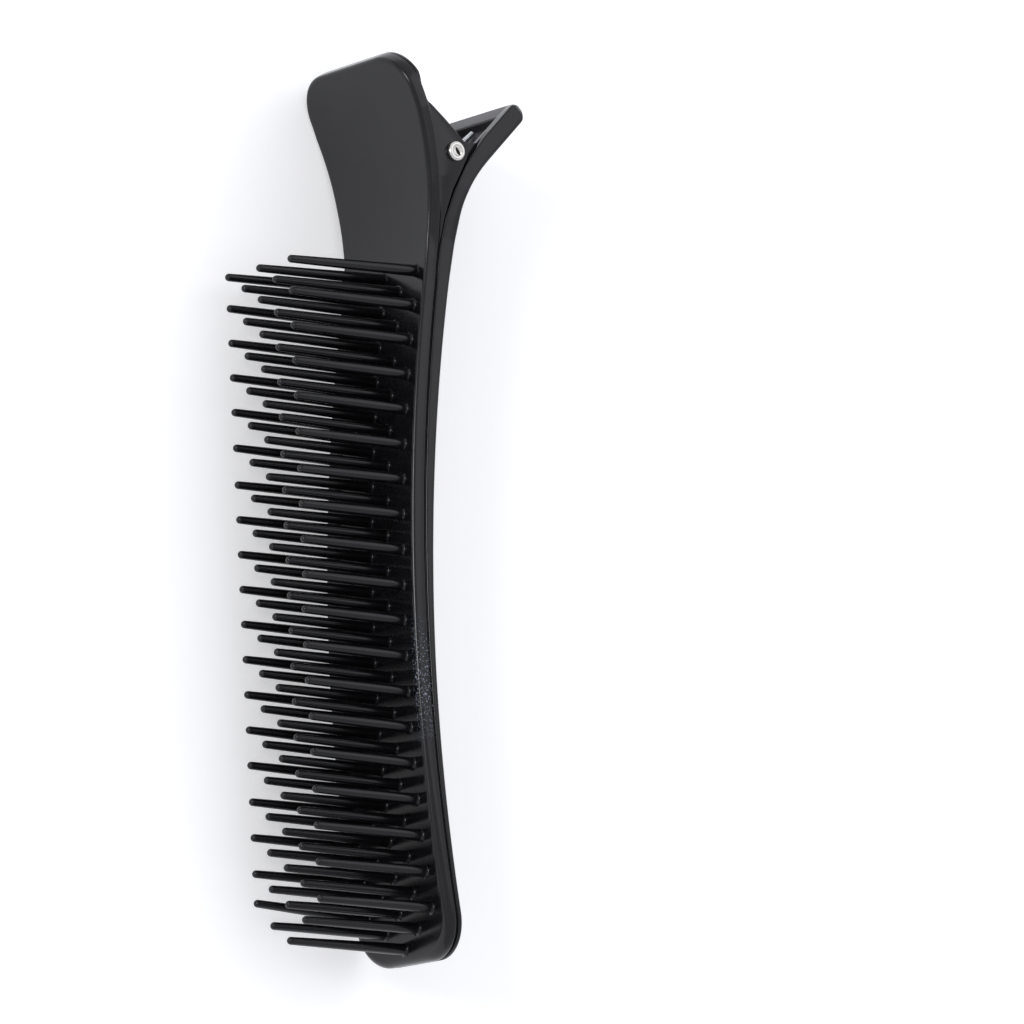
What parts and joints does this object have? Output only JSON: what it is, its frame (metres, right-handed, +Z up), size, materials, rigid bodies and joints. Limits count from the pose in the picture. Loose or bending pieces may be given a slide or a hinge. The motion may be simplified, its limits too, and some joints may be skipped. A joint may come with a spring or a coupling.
{
  "type": "sectioning hair clip",
  "caption": "Black plastic sectioning hair clip: a curved front jaw with a thumb paddle and rows of long bristles, and a rear jaw with a short lever, sprung shut on a riveted hinge.",
  "frame": {"origin": "middle of the bounding box's underside, with the clip lying on its side edge as it would on a table", "axes": "+X from the finger ends towards the jaw tip, -Y the way the bristles point, +Y towards the rear jaw, +Z up along the hinge rivet, across the clip's width"},
  "size_m": [0.139, 0.0424, 0.0274],
  "materials": {
    "moulded_plastic": "black injection-moulded plastic, semi-gloss",
    "bristle_plastic": "black nylon, satin",
    "rivet_metal": "bright nickel-plated rivet",
    "spring_steel": "drawn spring wire"
  },
  "bodies": {
    "front_jaw_body": {"front_jaw": "moulded_plastic", "bristle_column_a": "bristle_plastic", "bristle_column_b": "bristle_plastic", "bristle_column_c": "bristle_plastic", "bristle_column_d": "bristle_plastic", "bristle_column_e": "bristle_plastic", "hinge_rivet": "rivet_metal", "torsion_spring": "spring_steel"},
    "rear_jaw_body": {"rear_jaw": "moulded_plastic"}
  },
  "joints": [
    {"name": "jaw_hinge", "type": "hinge", "parent": "front_jaw_body", "child": "rear_jaw_body", "pos_m": [-0.05459, 0.00772, 0.0137], "axis": [0, 0, 1], "range_deg": [0, 60], "stiffness_Nm_per_rad": 0.08, "springref_deg": -85.94, "deforming": ["torsion_spring"]}
  ]
}
